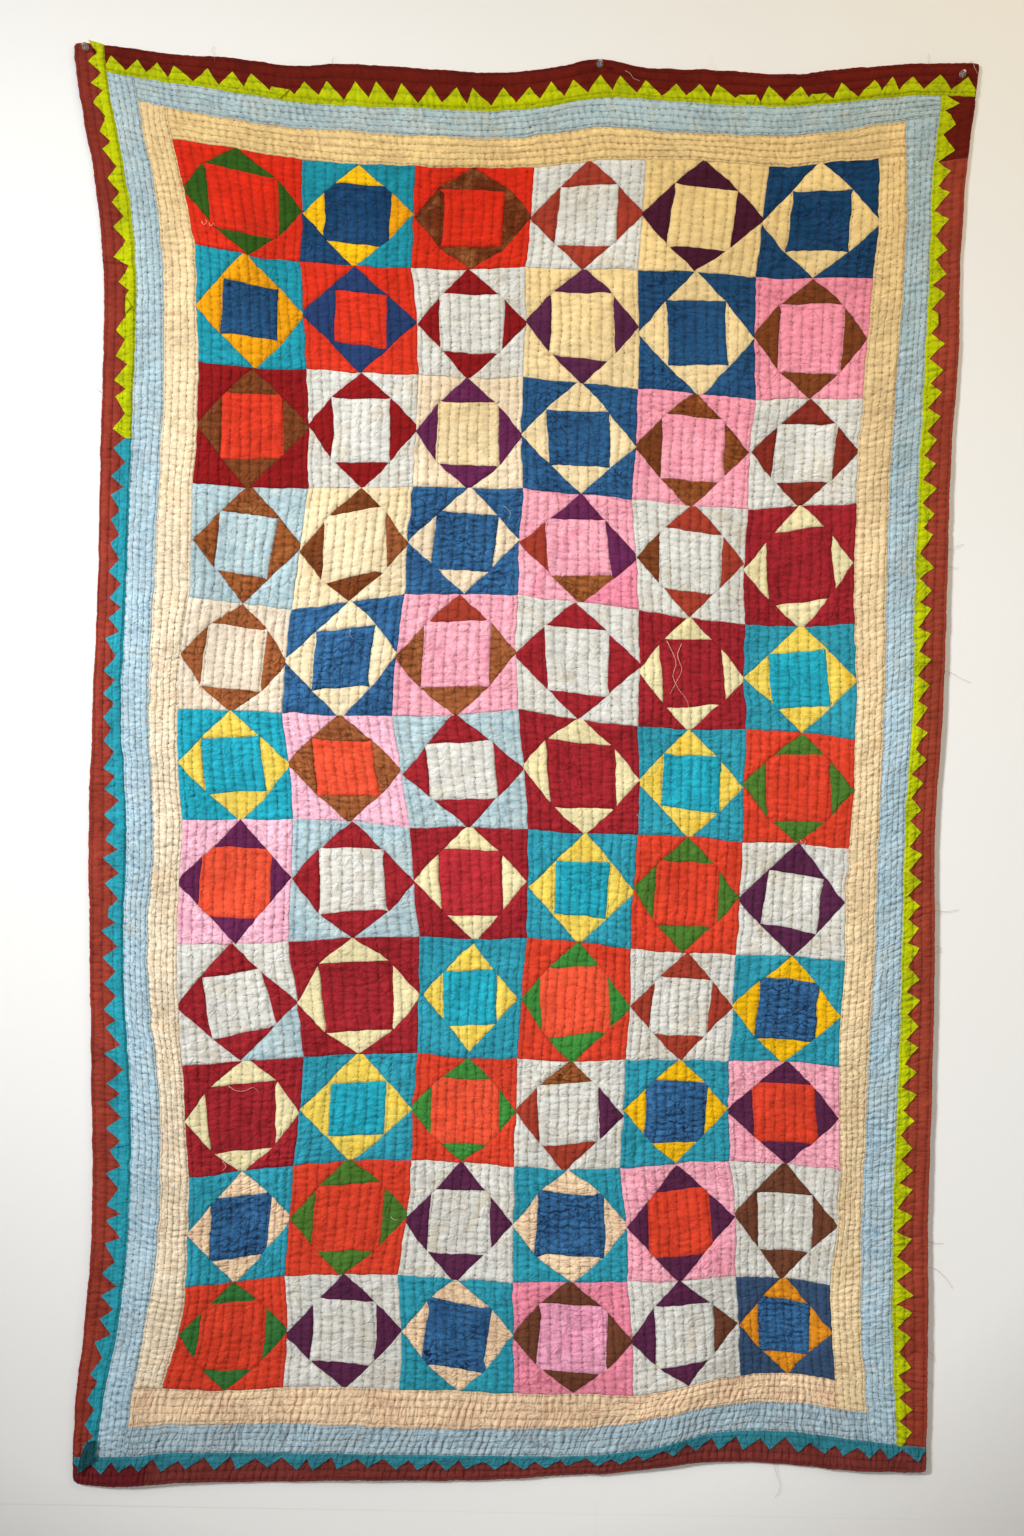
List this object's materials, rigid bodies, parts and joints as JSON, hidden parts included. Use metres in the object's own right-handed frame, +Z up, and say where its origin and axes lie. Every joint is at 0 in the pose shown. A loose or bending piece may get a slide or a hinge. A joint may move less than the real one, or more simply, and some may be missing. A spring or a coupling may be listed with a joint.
{
  "type": "ralli quilt on push pins",
  "caption": "Hand-quilted cotton patchwork wall hanging of squares on point, with cream, light blue and maroon borders and sawtooth strips, held at its top edge by clear push pins.",
  "frame": {"origin": "where the middle pin's needle meets the wall, just below the quilt's top edge", "axes": "+Z up, +Y into the wall, so the quilt's face looks to -Y; +X to the right of someone who faces it"},
  "size_m": [1.3309, 0.0243, 2.1209],
  "materials": {
    "patchwork cotton": "hand-quilted cotton patchwork, many dyes",
    "cream cotton": "plain-weave cotton, quilted, softly stained",
    "light blue cotton": "plain-weave cotton, quilted",
    "maroon cotton": "plain-weave cotton, quilted",
    "dark maroon cotton": "plain-weave cotton, quilted",
    "lime cotton": "thin plain-weave cotton, folded and sewn down",
    "teal cotton": "thin plain-weave cotton, folded and sewn down",
    "clear plastic": "clear moulded plastic, glossy",
    "pin steel": "bright steel"
  },
  "bodies": {
    "root": {"blue_border_bottom": "light blue cotton", "blue_border_left": "light blue cotton", "blue_border_right": "light blue cotton", "blue_border_top": "light blue cotton", "cream_border_bottom": "cream cotton", "cream_border_left": "cream cotton", "cream_border_right": "cream cotton", "cream_border_top": "cream cotton", "maroon_border_bottom": "maroon cotton", "maroon_border_bottom_corner": "dark maroon cotton", "maroon_border_left_lower": "maroon cotton", "maroon_border_left_upper": "maroon cotton", "maroon_border_right_lower": "maroon cotton", "maroon_border_right_upper": "maroon cotton", "maroon_border_top": "maroon cotton", "patchwork_field": "patchwork cotton", "pin_head_left": "clear plastic", "pin_head_middle": "clear plastic", "pin_head_right": "clear plastic", "pin_needle_left": "pin steel", "pin_needle_middle": "pin steel", "pin_needle_right": "pin steel", "sawtooth_bottom_teal": "teal cotton", "sawtooth_folded_end": "teal cotton", "sawtooth_left_lime": "lime cotton", "sawtooth_left_teal": "teal cotton", "sawtooth_right_lime": "lime cotton", "sawtooth_top_lime": "lime cotton"}
  },
  "joints": []
}
